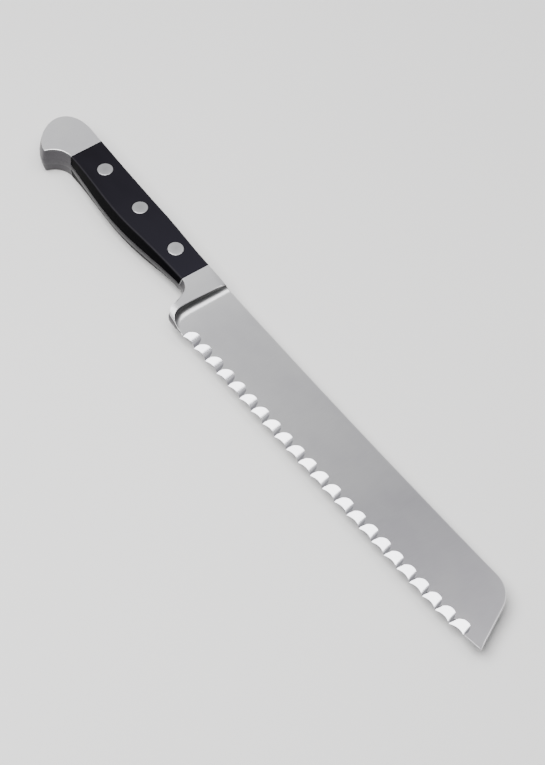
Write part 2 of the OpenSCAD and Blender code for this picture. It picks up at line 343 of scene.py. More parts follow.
def fillet_line(y, turn):
    """x of a line along the fillet at height y: turn 1 is the bolster's front edge, turn 0 the foot."""
    y = np.asarray(y, float)
    r = fillet_r(y)
    reach = np.full_like(y, 0.9)
    for _ in range(6):
        x = -FILLET_X + bend(y) - r * reach
        drop = np.clip((bolster_top(x, y) - half_face(y)) / r, 0, 0.98)
        reach = np.sqrt(1 - (1 - drop) ** 2)
    return -FILLET_X + bend(y) - r * reach * turn


def where_line_meets(turn, share, outline_y, x):
    """x at which share times a fillet line meets one side of the blade, found step by step from x."""
    for _ in range(30):
        x = 0.5 * x + 0.5 * share * fillet_line(outline_y(x), turn)
    return x


def hollow_parts(x):
    """Place across a hollow, from -1 to 1, and height of the line through its two points."""
    number = np.clip(np.floor(x / PITCH), 0, SCALLOPS - 1)
    across = 2 * (x / PITCH - number) - 1
    y1, y2 = edge_y(number * PITCH), edge_y((number + 1) * PITCH)
    return across, y1 + (y2 - y1) * (across + 1) / 2


def hollow_arc(across, line):
    """y of the scalloped edge."""
    return line + SCALLOP_DEPTH * (1 - across**2)


def hollow_arch(across, line):
    """y where the hollow runs out on the face of the blade."""
    return line + RIDGE_TOP + (HOLLOW_TOP - RIDGE_TOP) * np.maximum(0, 1 - np.abs(across) ** ARCH_POWER)


def hollow_z(y, across, line):
    """Height of the hollow's surface between those two lines."""
    low, high = hollow_arc(across, line), hollow_arch(across, line)
    share = (y - low) / (high - low)
    start = HONED - half_face(low)
    return start + (half_face(high) - start) * share


# ---- building blocks ----
class Mesh:
    """Collects quads and outlines in millimetres, welds them and gives one object."""

    def __init__(self):
        self.points, self.painted_highlight, self.painted_shade, self.faces, self.slots = [], [], [], [], []

    def add(self, points, painted_highlight=0.0, painted_shade=0.0):
        start = len(self.points)
        self.points.extend(points.reshape(-1, 3).tolist())
        for values, store in ((painted_highlight, self.painted_highlight), (painted_shade, self.painted_shade)):
            store.extend(np.broadcast_to(values, points.shape[:-1]).ravel().tolist())
        return start

    def grid(self, points, painted_highlight=0.0, slot=SATIN, painted_shade=0.0):
        n, m = points.shape[:2]
        start = self.add(points, painted_highlight, painted_shade)
        slots = np.broadcast_to(slot, (n - 1, m - 1))
        for i in range(n - 1):
            for j in range(m - 1):
                a = start + i * m + j
                self.faces.append((a, a + m, a + m + 1, a + 1))
                self.slots.append(int(slots[i, j]))

    def loop(self, points):
        start = self.add(points)
        self.faces.append(tuple(range(start, start + len(points))))
        self.slots.append(SATIN)

    def build(self, name, materials, sharp=SHARP):
        mesh = bpy.data.meshes.new(name)
        world = (np.array(self.points) + ORIGIN) * MM
        mesh.from_pydata(world.tolist(), [], self.faces)
        mesh.polygons.foreach_set("material_index", self.slots)
        bm = bmesh.new()
        bm.from_mesh(mesh)
        for layer_name, values in (("painted_highlight", self.painted_highlight), ("painted_shade", self.painted_shade)):
            layer = bm.verts.layers.float.new(layer_name)
            for vert, value in zip(bm.verts, values):
                vert[layer] = value
        weld(bm, MERGE)
        bmesh.ops.recalc_face_normals(bm, faces=bm.faces)
        mark_edges(bm, sharp)
        bm.to_mesh(mesh)
        bm.free()
        for material in materials:
            mesh.materials.append(material)
        return add_to_scene(name, mesh)


def weld(bm, distance):
    bmesh.ops.remove_doubles(bm, verts=bm.verts, dist=distance)
    bmesh.ops.dissolve_degenerate(bm, edges=bm.edges, dist=COLLAPSE)


def mark_edges(bm, sharp):
    """Smooth faces, with sharp edges where they meet at a large angle in degrees."""
    for face in bm.faces:
        face.smooth = True
    for edge in bm.edges:
        if len(edge.link_faces) == 2:
            angle = math.degrees(edge.calc_face_angle(0.0))
            ground = any(face.material_index == GROUND for face in edge.link_faces)
            edge.smooth = angle < (SHARP_GROUND if ground else sharp)


def add_to_scene(name, data):
    thing = bpy.data.objects.new(name, data)
    bpy.context.scene.collection.objects.link(thing)
    return thing


def length_along(line):
    """Distance from an open line's start to each of its points."""
    return np.concatenate([[0], np.cumsum(np.linalg.norm(np.diff(line[:, :2], axis=0), axis=1))])


def resample(line, step):
    """The same open line, its points an even distance apart. Columns after the second ride along."""
    length = length_along(line)
    at = np.linspace(0, length[-1], max(2, int(round(length[-1] / step)) + 1))
    return np.stack([np.interp(at, length, column) for column in line.T], axis=1)


def soften(line, step, width):
    """Rounds the corners of an open line without moving its ends."""
    line = resample(line, step)
    n = int(4 * width / step)
    kernel = np.exp(-0.5 * (np.arange(-n, n + 1) * step / width) ** 2)
    kernel /= kernel.sum()
    before = 2 * line[0] - line[n:0:-1]
    after = 2 * line[-1] - line[-2:-n - 2:-1]
    long = np.concatenate([before, line, after])
    return np.stack([np.convolve(column, kernel, mode="valid") for column in long.T], axis=1)


def unit(ways):
    return ways / np.linalg.norm(ways, axis=1)[:, None]


def normals_of(line, first=None, last=None, blend=2.0):
    """Unit normals to the right of an open line, turned towards given ones near its ends."""
    d = np.gradient(line[:, :2], axis=0)
    normal = unit(np.stack([d[:, 1], -d[:, 0]], axis=1))
    length = length_along(line)
    for target, away in ((first, length), (last, length[-1] - length)):
        if target is not None:
            w = np.clip(1 - away / blend, 0, 1)[:, None]
            normal = unit(normal * (1 - w) + np.array(target) * w)
    return normal


def wall_rows(bevel, rise, radius, support, power=1.0):
    """Offsets and height shares of the rows from a leaning wall's foot to the flat above."""
    bevel = np.asarray(bevel, float)
    rise = np.maximum(np.asarray(rise, float), 1e-3)
    length = np.hypot(bevel, rise)
    r = np.minimum(radius, LONGEST_ROUND * length)
    share = 1 - r / length
    offsets, heights = [], []
    for t in np.arange(LEAN_ROWS) / LEAN_ROWS:
        offsets.append(bevel * share * t**power)
        heights.append(share * t)
    for t in np.linspace(0, 1, CORNER_ROWS):
        a, b, c = (1 - t) ** 2, 2 * t * (1 - t), t * t
        offsets.append(a * bevel * share + b * bevel + c * (bevel + r))
        heights.append(a * share + b + c)
    for steps in (1, 3):
        offsets.append(bevel + r + steps * support)
        heights.append(np.ones_like(r))
    return np.array(offsets), np.array(heights)


# ---- materials ----
def nodes_of(name):
    material = bpy.data.materials.new(name)
    material.use_nodes = True
    tree = material.node_tree
    tree.nodes.clear()
    output = tree.nodes.new("ShaderNodeOutputMaterial")
    shader = tree.nodes.new("ShaderNodeBsdfPrincipled")
    tree.links.new(shader.outputs["BSDF"], output.inputs["Surface"])
    return material, tree, shader


def set_inputs(node, values):
    for name, value in values.items():
        node.inputs[name].default_value = value


def noise(tree, scale, detail, roughness=0.5):
    """Noise over the object. scale is how fine it is along x, y and z, per metre."""
    where = tree.nodes.new("ShaderNodeTexCoord")
    mapping = tree.nodes.new("ShaderNodeMapping")
    mapping.inputs["Scale"].default_value = scale
    tree.links.new(where.outputs["Object"], mapping.inputs["Vector"])
    node = tree.nodes.new("ShaderNodeTexNoise")
    tree.links.new(mapping.outputs["Vector"], node.inputs["Vector"])
    set_inputs(node, {"Scale": 1.0, "Detail": detail, "Roughness": roughness})
    return node.outputs["Fac"]


def x_of(tree, space):
    where = tree.nodes.new("ShaderNodeTexCoord")
    parts = tree.nodes.new("ShaderNodeSeparateXYZ")
    tree.links.new(where.outputs[space], parts.inputs["Vector"])
    return parts.outputs["X"]


def attribute(tree, name):
    node = tree.nodes.new("ShaderNodeAttribute")
    node.attribute_name = name
    return node.outputs["Fac"]


def between(tree, source, low, high, start=0.0, end=1.0):
    """Turns the range from start to end into the one from low to high."""
    node = tree.nodes.new("ShaderNodeMapRange")
    set_inputs(node, {"From Min": start, "From Max": end, "To Min": low, "To Max": high})
    tree.links.new(source, node.inputs["Value"])
    return node.outputs["Result"]


def ramp(tree, source, stops):
    node = tree.nodes.new("ShaderNodeValToRGB")
    elements = node.color_ramp.elements
    for place, colour in stops[1:-1]:
        elements.new(place)
    for element, (place, colour) in zip(elements, stops):
        element.position = place
        element.color = (*colour, 1)
    tree.links.new(source, node.inputs["Fac"])
    return node.outputs["Color"]


def mix(tree, share, a, b, mode="MIX"):
    """Mixes two colours, each a socket or three numbers. share is a socket or a number."""
    node = tree.nodes.new("ShaderNodeMix")
    node.data_type = "RGBA"
    node.blend_type = mode
    for socket, value in ((node.inputs[0], share), (node.inputs[6], a), (node.inputs[7], b)):
        if isinstance(value, bpy.types.NodeSocket):
            tree.links.new(value, socket)
        elif isinstance(value, tuple):
            socket.default_value = (*value, 1)
        else:
            socket.default_value = value
    return node.outputs[2]


def shaded(tree, colour, deepest):
    """The colour, turned towards the deepest one by the mesh's painted shade."""
    return mix(tree, between(tree, attribute(tree, "painted_shade"), 0.0, 0.93), colour, deepest)


def finish_surface(tree, shader, colour, highlight_colour, height, strength):
    """Links the colour with its painted highlights, and a fine relief."""
    painted_highlight = attribute(tree, "painted_highlight")
    tree.links.new(mix(tree, painted_highlight, colour, highlight_colour), shader.inputs["Base Color"])
    surface = tree.nodes.new("ShaderNodeBump")
    set_inputs(surface, {"Strength": strength, "Distance": 0.00002})
    tree.links.new(height, surface.inputs["Height"])
    tree.links.new(surface.outputs["Normal"], shader.inputs["Normal"])


def steel(name, dark, light, rough, grain, bump, highlight_colour, fading=None):
    """Steel with a fine directional grain, given as the scale of a noise."""
    material, tree, shader = nodes_of(name)
    fine = noise(tree, grain, 3.0, 0.6)
    cloud = noise(tree, (45, 60, 60), 2.0)
    streaks = ramp(tree, fine, [(0.3, dark), (0.7, light)])
    tone = ramp(tree, cloud, [(0.35, (0.93, 0.925, 0.945)), (0.65, (1.0, 1.0, 1.0))])
    colour = mix(tree, 1.0, streaks, tone, "MULTIPLY")
    # painted light gradient: the satin steel is painted darker from the bolster along the blade
    if fading:
        start, end = (JOINT_B + ORIGIN[0]) * MM, (ORIGIN[0] + EDGE_END) * MM
        along = between(tree, x_of(tree, "Object"), 0.0, 1.0, start, end)
        colour = mix(tree, 1.0, colour, ramp(tree, along, fading), "MULTIPLY")
    # painted shade: the mesh's painted shade darkens the steel, on the fillet and along the tang's long
    # edges
    colour = shaded(tree, colour, (0.02, 0.02, 0.021))
    finish_surface(tree, shader, colour, highlight_colour, fine, bump)
    shader.inputs["Metallic"].default_value = 1.0
    tree.links.new(between(tree, fine, *rough), shader.inputs["Roughness"])
    return material


def satin_steel():
    """Flat of blade, bolster and butt. The handle's steel reads a little lighter: a painted light gradient
    darkens the blade from the bolster on.
    """
    return steel(
        "satin_steel", dark=(0.80, 0.80, 0.802), light=(0.835, 0.835, 0.837), rough=(0.26, 0.34),
        grain=(2600, 160, 2600), bump=0.3, highlight_colour=(0.95, 0.95, 0.95),
        fading=[(0.0, (1.0, 1.0, 1.0)), (0.14, (0.79, 0.79, 0.79)),
                (0.7, (0.46, 0.455, 0.47)), (1.0, (0.48, 0.47, 0.485))],
    )


def ground_steel():
    """Hollows of the wavy edge."""
    return steel(
        "ground_steel", dark=(0.66, 0.66, 0.685), light=(0.72, 0.72, 0.745), rough=(0.11, 0.16),
        grain=(300, 2600, 300), bump=0.15, highlight_colour=(0.9, 0.9, 0.9),
    )


def side_steel_painted_dark():
    """Side walls of tang, butt and bolster: painted shade, a much darker copy of the steel that stands in
    for the walls' dark reflections.
    """
    return steel(
        "side_steel_painted_dark", dark=(0.075, 0.072, 0.076), light=(0.095, 0.092, 0.097), rough=(0.34, 0.44),
        grain=(200, 2200, 2200), bump=0.3, highlight_colour=(0.55, 0.55, 0.56),
    )


def rivet_steel():
    return steel(
        "rivet_steel", dark=(0.39, 0.39, 0.395), light=(0.43, 0.43, 0.435), rough=(0.3, 0.38),
        grain=(1900, 1900, 1900), bump=0.25, highlight_colour=(0.68, 0.68, 0.69),
    )


def handle_polymer():
    """Black moulded plastic, a little greyer towards the bolster."""
    material, tree, shader = nodes_of("handle_polymer")
    fine = noise(tree, (5200, 5200, 5200), 2.0)
    cloud = noise(tree, (60, 140, 140), 3.0)
    colour = ramp(tree, cloud, [(0.35, (0.0080, 0.0073, 0.0098)), (0.65, (0.0095, 0.0088, 0.0118))])
    along = between(tree, x_of(tree, "Object"), 0.0, 1.0, scale_low.x, scale_high.x)
    colour = mix(tree, along, colour, (0.0145, 0.0137, 0.0188))
    # painted shade: the side walls are painted blacker than the flat sides
    colour = shaded(tree, colour, (0.0006, 0.0006, 0.0008))
    # painted highlight along the scales' edges, in the lighter colour given here
    finish_surface(tree, shader, colour, (0.034, 0.033, 0.038), fine, 0.25)
    tree.links.new(between(tree, cloud, 0.4, 0.5), shader.inputs["Roughness"])
    shader.inputs["Specular IOR Level"].default_value = 0.02
    return material


def table_material():
    material, tree, shader = nodes_of("table")
    cloud = noise(tree, (3, 3, 3), 2.0)
    colour = ramp(tree, cloud, [(0.3, (0.85, 0.845, 0.835)), (0.7, (0.88, 0.875, 0.865))])
    tree.links.new(colour, shader.inputs["Base Color"])
    shader.inputs["Roughness"].default_value = 0.9
    return material


# ---- blank: blade, bolster, tang and butt ----
def butt_quarter(side):
    """Round the end: side 1 from the spine to the butt's furthest point, side -1 from there to the hook."""
    above = side > 0
    rise = spine_y(HOOK_X) - SPINE_BEVEL - BUTT_END_H if above else BUTT_END_H - HOOK_Y
    power = 2 / (BUTT_FULL_ABOVE if above else BUTT_FULL_BELOW)
    angles = np.linspace(90, 0, 60) if above else np.linspace(0, 90, 60)
    points = []
    for a in np.radians(angles)[1:]:
        x = HOOK_X - (BUTT_L - HOOK_L) * math.cos(a) ** power
        y = BUTT_END_H + side * rise * math.sin(a) ** power
        out = SPINE_BEVEL + (BUTT_BEVEL - SPINE_BEVEL) * math.cos(a) if above else BUTT_BEVEL
        points.append((x, y, out))
    return points


def arc(x, y, r, start, turn, leans, count):
    """Points of an arc about x, y. Column 3 is the wall's lean, which changes evenly."""
    points = []
    for t in np.linspace(0, 1, count):
        a = start + t * turn
        points.append((x + r * math.cos(a), y + r * math.sin(a), leans[0] + t * (leans[1] - leans[0])))
    return points


def butt_hollow():
    """From the tip of the hook to the joint at the belly."""
    start = math.acos(-HOOK_L / HOOK_R)
    leans = (BUTT_BEVEL, belly_out(JOINT_P))
    return arc(JOINT_P, HOOK_C, HOOK_R, start, math.pi / 2 - start, leans, 40)[1:]


def butt_outline():
    """Flat side of the butt, from the joint at the spine round to the belly."""
    spine = [(x, spine_y(x) - SPINE_BEVEL, SPINE_BEVEL) for x in np.linspace(JOINT_P, HOOK_X, 12)]
    line = spine + butt_quarter(1) + butt_quarter(-1) + butt_hollow()
    return soften(np.array(line, float), step=0.35, width=0.4)


def chin_outline():
    """Lower side of the bolster from the joint, round the notch and the chin, to the plain edge."""
    leans = (belly_out(JOINT_B), NOTCH_BEVEL)
    notch = arc(JOINT_B, NOTCH_Y, NOTCH_R, math.pi / 2, -NOTCH_ANGLE, leans, 30)
    chin = [(CHIN_X, CHIN_Y, CHIN_BEVEL)]
    xs = np.linspace(PLAIN_START, PLAIN_STOP, 12)
    plain = [(x, float(edge_y(x)) + PLAIN_BEVEL, PLAIN_BEVEL) for x in xs]
    return soften(np.array(notch + chin + plain, float), step=0.3, width=0.55)


def chin_feet(edge_x):
    """Feet of the bolster's lines on the edge side, the ways inwards, and the wall's lean there."""
    chin = chin_outline()
    chin_in = -normals_of(chin, first=(0, -1))
    outer = chin[:, :2] - chin[:, 2:3] * chin_in
    front = int(np.argmin(np.abs(outer[:, 0] - edge_x)))
    index = np.arange(len(outer))
    columns = np.column_stack([outer, chin_in, chin[:, 2]])
    picked = np.stack([np.interp(BOLSTER_SHARES * front, index, column) for column in columns.T], axis=1)
    return picked[:, :2], unit(picked[:, 2:4]), picked[:, 4]


def wavy_places():
    """x of the lines across the wavy edge, which crowd together at the ridges between its hollows."""
    steps = (1 - np.cos(np.linspace(0, np.pi, HOLLOW_LINES))) / 2
    xs = np.unique(np.round((np.arange(SCALLOPS)[:, None] + steps) * PITCH, 4))
    xs[0] += END_CLEAR
    xs[-1] -= END_CLEAR
    return xs


def ways_from_spine(xs):
    """Unit ways inwards from the line of spine, corner and front."""
    samples = np.linspace(-30, BLADE_L, 4000)
    grade = np.interp(xs, samples, np.gradient(top_y(samples), samples))
    return unit(np.stack([grade, -np.ones_like(grade)], axis=1))


def top_beside(foot, way, bevel):
    """Height of the blank's surface just inside a wall."""
    x, y = (foot + (bevel + PAST_BEVEL)[:, None] * way).T
    return blank_top(x, y)


class Lines:
    """Lines across the blank from the joint to the tip, each from the edge side to the spine side.

    low and up are the outermost points at its two ends, low_in and up_in the ways inwards from there,
    and bevel_low and bevel_up how far the walls lean in.
    """

    def __init__(self):
        # the last number of each search is only a rough place to start from
        edge_x = float(where_line_meets(1.0, 1.0, edge_y, -6.0))
        spine_x = float(where_line_meets(1.0, 1.0, top_y, -10.0))
        self.turns = np.concatenate([1 - FILLET_SHARES, np.zeros(HEEL_LINES)])
        self.shares = np.concatenate([np.ones(len(FILLET_SHARES)), np.linspace(1, 0, HEEL_LINES + 1)[1:]])
        n = len(self.turns)
        heel_low = where_line_meets(self.turns, self.shares, edge_y, np.full(n, -4.0))
        heel_up = where_line_meets(self.turns, self.shares, top_y, np.full(n, -8.0))
        wavy = wavy_places()
        plain = np.linspace(EDGE_END, BLADE_L - TIP_CUT, PLAIN_LINES)
        counts = [BOLSTER_LINES, len(FILLET_SHARES), HEEL_LINES, len(wavy), PLAIN_LINES]
        self.kind = np.repeat([BOLSTER, FILLET, HEEL, WAVY, PLAIN], counts)
        self.wavy = self.kind == WAVY
        self.thick = self.kind <= FILLET
        foot_x = heel_low[len(FILLET_SHARES) - 1]
        self.place_low(edge_x, foot_x, np.concatenate([heel_low, wavy, plain]))
        self.place_up(spine_x, np.concatenate([heel_up, wavy, plain]))
        # walls and roundings shrink where the blade is narrow, and along the wavy edge
        self.room = np.clip((self.up[:, 1] - self.low[:, 1]) / NARROW, LEAST_ROOM, 1)
        self.tight = np.where(self.wavy, WAVY_ROOM, self.room)
        self.soft_low = SOFT * np.where(self.thick, 1, 0.3) * self.tight
        self.soft_up = SOFT * np.where(self.thick, 1, 0.5) * self.room

    def place_low(self, edge_x, foot_x, blade_x):
        """Edge side: round the notch and the chin, then along the edge with its hollows."""
        chin, chin_in, chin_bevel = chin_feet(edge_x)
        xs = np.concatenate([chin[:, 0], blade_x])
        self.across, self.chord = hollow_parts(np.where(self.wavy, xs, 0.0))
        self.arch = hollow_arch(self.across, self.chord)
        ys = np.where(self.wavy, hollow_arc(self.across, self.chord), edge_y(xs))
        ys[:BOLSTER_LINES] = chin[:, 1]
        self.low = np.stack([xs, ys], axis=1)
        self.low_in = np.concatenate([chin_in, np.tile([0.0, 1.0], (len(blade_x), 1))])
        fading = np.interp(blade_x, [edge_x, foot_x], [chin_bevel[-1], THINNEST])
        self.bevel_low = np.concatenate([chin_bevel, np.where(blade_x < 0, fading, EDGE_BEVEL)])

    def place_up(self, spine_x, blade_x):
        """Spine side, round the corner and down the front."""
        xs = np.concatenate([JOINT_B + BOLSTER_SHARES * (spine_x - JOINT_B), blade_x])
        on_bolster = xs < spine_x
        self.up = np.stack([xs, top_y(xs)], axis=1)
        self.up_in = np.where(on_bolster[:, None], (0.0, -1.0), ways_from_spine(xs))
        fading = np.interp(xs, [spine_x, -FILLET_X], [SPINE_BEVEL, THINNEST])
        self.bevel_up = np.where(on_bolster, SPINE_BEVEL, fading)

    def middle(self, inner_low, inner_up):
        """Rows of the flat between the two walls, split along the tops of the hollows."""
        split = inner_low + (inner_up - inner_low) * SPLIT_SHARE
        split[:, 1] = np.where(self.wavy, self.arch, split[:, 1])
        split[:, 0] = np.where(self.kind >= WAVY, self.up[:, 0], split[:, 0])
        a = np.linspace(0, 1, SPLIT_ROWS + 1)[1:, None, None]
        b = np.linspace(0, 1, FACE_ROWS)[1:-1, None, None]
        lower = inner_low * (1 - a) + split * a
        upper = split * (1 - b) + inner_up * b
        return np.concatenate([lower, upper])

    def follow_front(self, plan):
        """Moves the lines near the bolster to its curved front edge and the foot of its fillet."""
        front = BOLSTER_LINES - 1
        shift = fillet_line(plan[:, front, 1], 1.0) - plan[:, front, 0]
        plan[:, :BOLSTER_LINES, 0] += BOLSTER_SHARES**2 * shift[:, None]
        for line, (turn, share) in enumerate(zip(self.turns, self.shares), BOLSTER_LINES):
            plan[:, line, 0] = share * fillet_line(plan[:, line, 1], turn)
        return plan

    def face(self, side):
        """Points of one side of the blank, line by line: side 1 is right, with the hollows."""
        top_low = top_beside(self.low, self.low_in, self.bevel_low)
        top_up = top_beside(self.up, self.up_in, self.bevel_up)
        flat_low = half_face(self.low[:, 1])
        wavy_low = HONED - flat_low if side > 0 else flat_low
        z_low = np.where(self.wavy, wavy_low, np.minimum(HALF_TANG, top_low - EDGE_WALL))
        z_up = np.minimum(HALF_TANG, top_up - SPINE_WALL)

        rise_low = np.maximum(top_low - z_low, 0.02) * self.tight
        flat = np.where(self.wavy, SUPPORT / 4, SUPPORT) * self.tight
        off_low, share_low = wall_rows(self.bevel_low * self.tight, rise_low, WALL_R, flat)
        radius = np.where(self.thick, WALL_R, SPINE_R)
        rise_up = (top_up - z_up) * self.room
        off_up, share_up = wall_rows(self.bevel_up * self.room, rise_up, radius, SUPPORT * self.room)
        wall_low = self.low + (self.soft_low + off_low)[..., None] * self.low_in
        wall_up = self.up + (self.soft_up + off_up)[..., None] * self.up_in
        middle = self.middle(wall_low[-1], wall_up[-1])
        plan = self.follow_front(np.concatenate([wall_low, middle, wall_up[::-1]]))

        x, y = plan[..., 0], plan[..., 1]
        top = blank_top(x, y)
        z = top.copy()
        z[:WALL_ROWS] = z_low + share_low * (top[:WALL_ROWS] - z_low)
        z[-WALL_ROWS:] = (z_up + share_up * (blank_top(wall_up[..., 0], wall_up[..., 1]) - z_up))[::-1]
        if side > 0:
            ground = np.minimum(hollow_z(y, self.across, self.chord), top)[:HOLLOW_ROWS]
            z[:HOLLOW_ROWS] = np.where(self.wavy, ground, z[:HOLLOW_ROWS])
        return np.stack([x, y, side * z], axis=-1).transpose(1, 0, 2)

    def painted_highlight(self, right):
        """Painted highlights of a side's points: bright edges, and a brighter chin."""
        flat = np.zeros(right.shape[1] - 2 * WALL_ROWS)
        painted_highlight = np.tile(np.concatenate([WALL_HIGHLIGHT, flat, WALL_HIGHLIGHT[::-1]]), (len(self.kind), 1))
        painted_highlight[self.wavy, :WALL_ROWS] = 0.0
        front = BOLSTER_LINES - 1
        chin = (slice(front), slice(LEAN_ROWS, -LEAN_ROWS))
        # painted highlight, brighter towards the chin's lower side
        chin_sheen = CHIN_HIGHLIGHT * np.clip((CHIN_HIGHLIGHT_TOP - right[chin][..., 1]) / CHIN_HIGHLIGHT_FADE, 0, 1)
        painted_highlight[chin] = np.maximum(painted_highlight[chin], chin_sheen)
        # painted highlight along the bolster's front edge
        painted_highlight[front - 3:front + 4, WALL_ROWS:-WALL_ROWS] = FRONT_HIGHLIGHT[:, None]
        # painted highlight lines along the spine and the plain edge
        painted_highlight[~self.thick, -WALL_ROWS:] = SPINE_HIGHLIGHT
        painted_highlight[self.kind == PLAIN, :WALL_ROWS] = PLAIN_HIGHLIGHT
        # painted highlight along the joint
        joint = np.zeros((len(JOINT_WALL), painted_highlight.shape[1]))
        joint[-1] = JOINT_HIGHLIGHT
        painted_highlight[0] = np.maximum(painted_highlight[0], JOINT_HIGHLIGHT)
        return np.concatenate([joint, painted_highlight])

    def painted_shade(self, right):
        """Painted shade on the fillet, standing in for its dark reflection, narrower towards the spine."""
        depth = np.clip((self.up[:, 1:] - right[..., 1]) / FILLET_SHADE_FADE, 0, 1)
        width = FILLET_SHADE * (FILLET_SHADE_AT_SPINE + (1 - FILLET_SHADE_AT_SPINE) * depth)
        turned = np.ones(len(self.kind))
        turned[BOLSTER_LINES + 1:BOLSTER_LINES + len(FILLET_SHARES)] = FILLET_SHARES[1:]
        painted_shade = np.clip(1 - turned[:, None] / width, 0, 1) ** 1.5
        return np.concatenate([np.zeros((len(JOINT_WALL), right.shape[1])), painted_shade])

    def slots(self, side, columns):
        """Material slots of a side's faces."""
        slots = np.zeros((len(self.kind) - 1, columns - 1), int)
        if side > 0:
            slots[self.wavy[:-1] & self.wavy[1:], :HOLLOW_ROWS - 1] = GROUND
        slots[self.thick[:-1], :LEAN_ROWS] = SIDE
        slots[self.thick[:-1], -LEAN_ROWS:] = SIDE
        return np.concatenate([np.zeros((len(JOINT_WALL), columns - 1), int), slots])


def with_joint(points, side):
    """Adds a short wall at the joint, up to the bolster."""
    walls = []
    for share, inset in JOINT_WALL:
        line = points[0].copy()
        line[:, 2] = side * (HALF_TANG + (np.abs(line[:, 2]) - HALF_TANG) * share)
        line[:, 0] = JOINT_B + inset
        walls.append(line)
    moved = points.copy()
    moved[0, :, 0] += JOINT_R
    moved[1, :, 0] = np.maximum(moved[1, :, 0], moved[0, :, 0] + LEAST_STEP)
    return np.concatenate([np.array(walls), moved])


def add_band(out, edge_r, edge_l, inward, soft, slot, painted_shade=0.0):
    """Joins the two sides along the mid-plane. Gives the points of its four rows."""
    thick = edge_r[:, 2] - edge_l[:, 2]
    c = np.minimum(SOFT_Z, 0.3 * thick)
    outermost = edge_r[:, :2] - np.reshape(soft, (-1, 1)) * inward
    upper = np.column_stack([outermost, edge_r[:, 2] - c])
    lower = np.column_stack([outermost, edge_l[:, 2] + c])
    rows = np.stack([edge_r, upper, lower, edge_l], axis=1)
    out.grid(rows, 0.0, slot, painted_shade)
    return rows


def add_blade(out, lines, right, left):
    """Both sides of blade and bolster, the bands between them, and the tip's blunt end."""
    painted_highlight, painted_shade = lines.painted_highlight(right), lines.painted_shade(right)
    full_r, full_l = with_joint(right, 1), with_joint(left, -1)
    for full, side in ((full_r, 1), (full_l, -1)):
        out.grid(full, painted_highlight, lines.slots(side, full.shape[1]), painted_shade)
    along = np.maximum(np.arange(JOINT_START - len(JOINT_WALL), len(lines.kind)), 0)
    slots = np.where(lines.thick, SIDE, SATIN)[along[:-1], None]
    bands = []
    for column, inward, soft in ((0, lines.low_in, lines.soft_low), (-1, lines.up_in, lines.soft_up)):
        edges = (full_r[JOINT_START:, column], full_l[JOINT_START:, column])
        bands.append(add_band(out, *edges, inward[along], soft[along], slots))
    low_band, up_band = bands
    out.loop(np.concatenate([full_r[-1], up_band[-1, 1:3], full_l[-1][::-1], low_band[-1, 2:0:-1]]))
    return full_r[0], full_l[0]


def add_tang(out, lines):
    """Long edges of the tang. Gives each one's outermost line, and its two borders."""
    xs = np.linspace(JOINT_P, JOINT_B, 90)
    low = np.stack([xs, belly_y(xs) - belly_out(xs)], axis=1)
    low[-1] = lines.low[0]
    up = np.stack([xs, spine_y(xs)], axis=1)
    up[-1] = lines.up[0]
    borders = []
    for line, way in ((low, np.array([0.0, 1.0])), (up, np.array([0.0, -1.0]))):
        inner = line + SOFT * way
        pair = [np.column_stack([inner, np.full(len(xs), side * HALF_TANG)]) for side in (1, -1)]
        # painted shade along the tang's long edges
        add_band(out, *pair, way, SOFT, SIDE, TANG_SHADE)
        borders.append(pair)
    return low, up, borders


def butt_rings(outer, inward, lean, side):
    """Rings from the tang up to the flat side of the butt, each closed along the joint."""
    rise = HALF_H - HALF_TANG
    off, share = wall_rows(lean, rise, radius=0.3, support=0.05, power=1.6)
    q = np.linspace(0, 1, JOINT_POINTS + 2)[1:-1]
    rings = []
    for k in range(WALL_ROWS):
        joint_x = JOINT_P - BUTT_INSET[k]
        plan = outer + (SOFT + off[k])[:, None] * inward
        plan[[0, -1], 0] = joint_x
        ys = plan[-1, 1] + (plan[0, 1] - plan[-1, 1]) * q
        ring = np.concatenate([plan, np.column_stack([np.full(JOINT_POINTS, joint_x), ys]), plan[:1]])
        height = HALF_TANG + share[k][0] * rise
        rings.append(np.column_stack([ring, np.full(len(ring), side * height)]))
    return np.array(rings)


def add_butt(out, tang_low, tang_up, borders, first_lines):
    """The butt, and the tang's own faces between it and the bolster."""
    flat = butt_outline()
    inward = -normals_of(flat, first=(0, 1), last=(0, -1))
    outer = flat[:, :2] - flat[:, 2:3] * inward
    outer[0], outer[-1] = tang_up[0], tang_low[0]
    # the softened line bulges by micrometres, and stays inside the CAD's box
    outer[:, 1] = np.minimum(outer[:, 1], blank_high.y / MM - ORIGIN[1])
    low_pair, up_pair = borders
    for side, low_border, up_border, first_line in zip((1, -1), low_pair, up_pair, first_lines):
        rings = butt_rings(outer, inward, flat[:, 2], side)
        slots = np.zeros((rings.shape[1] - 1, WALL_ROWS - 1), int)
        slots[:len(outer) - 1, :LEAN_ROWS + 1] = SIDE
        out.grid(rings.transpose(1, 0, 2), WALL_HIGHLIGHT, slots)
        out.loop(rings[-1, :-1])
        joint = rings[0, len(outer):-1]
        out.loop(np.concatenate([low_border, first_line[1:-1], up_border[::-1], joint[::-1]]))
    edge_r = np.column_stack([outer + SOFT * inward, np.full(len(outer), HALF_TANG)])
    edge_l = edge_r * np.array([1, 1, -1])
    for edge, low_border, up_border in zip((edge_r, edge_l), low_pair, up_pair):
        edge[0], edge[-1] = up_border[0], low_border[0]
    add_band(out, edge_r, edge_l, inward, SOFT, SIDE)


def build_blank():
    out = Mesh()
    lines = Lines()
    first_lines = add_blade(out, lines, lines.face(1), lines.face(-1))
    tang_low, tang_up, borders = add_tang(out, lines)
    add_butt(out, tang_low, tang_up, borders, first_lines)
    return out.build("blank_look", [satin_steel(), ground_steel(), side_steel_painted_dark()])


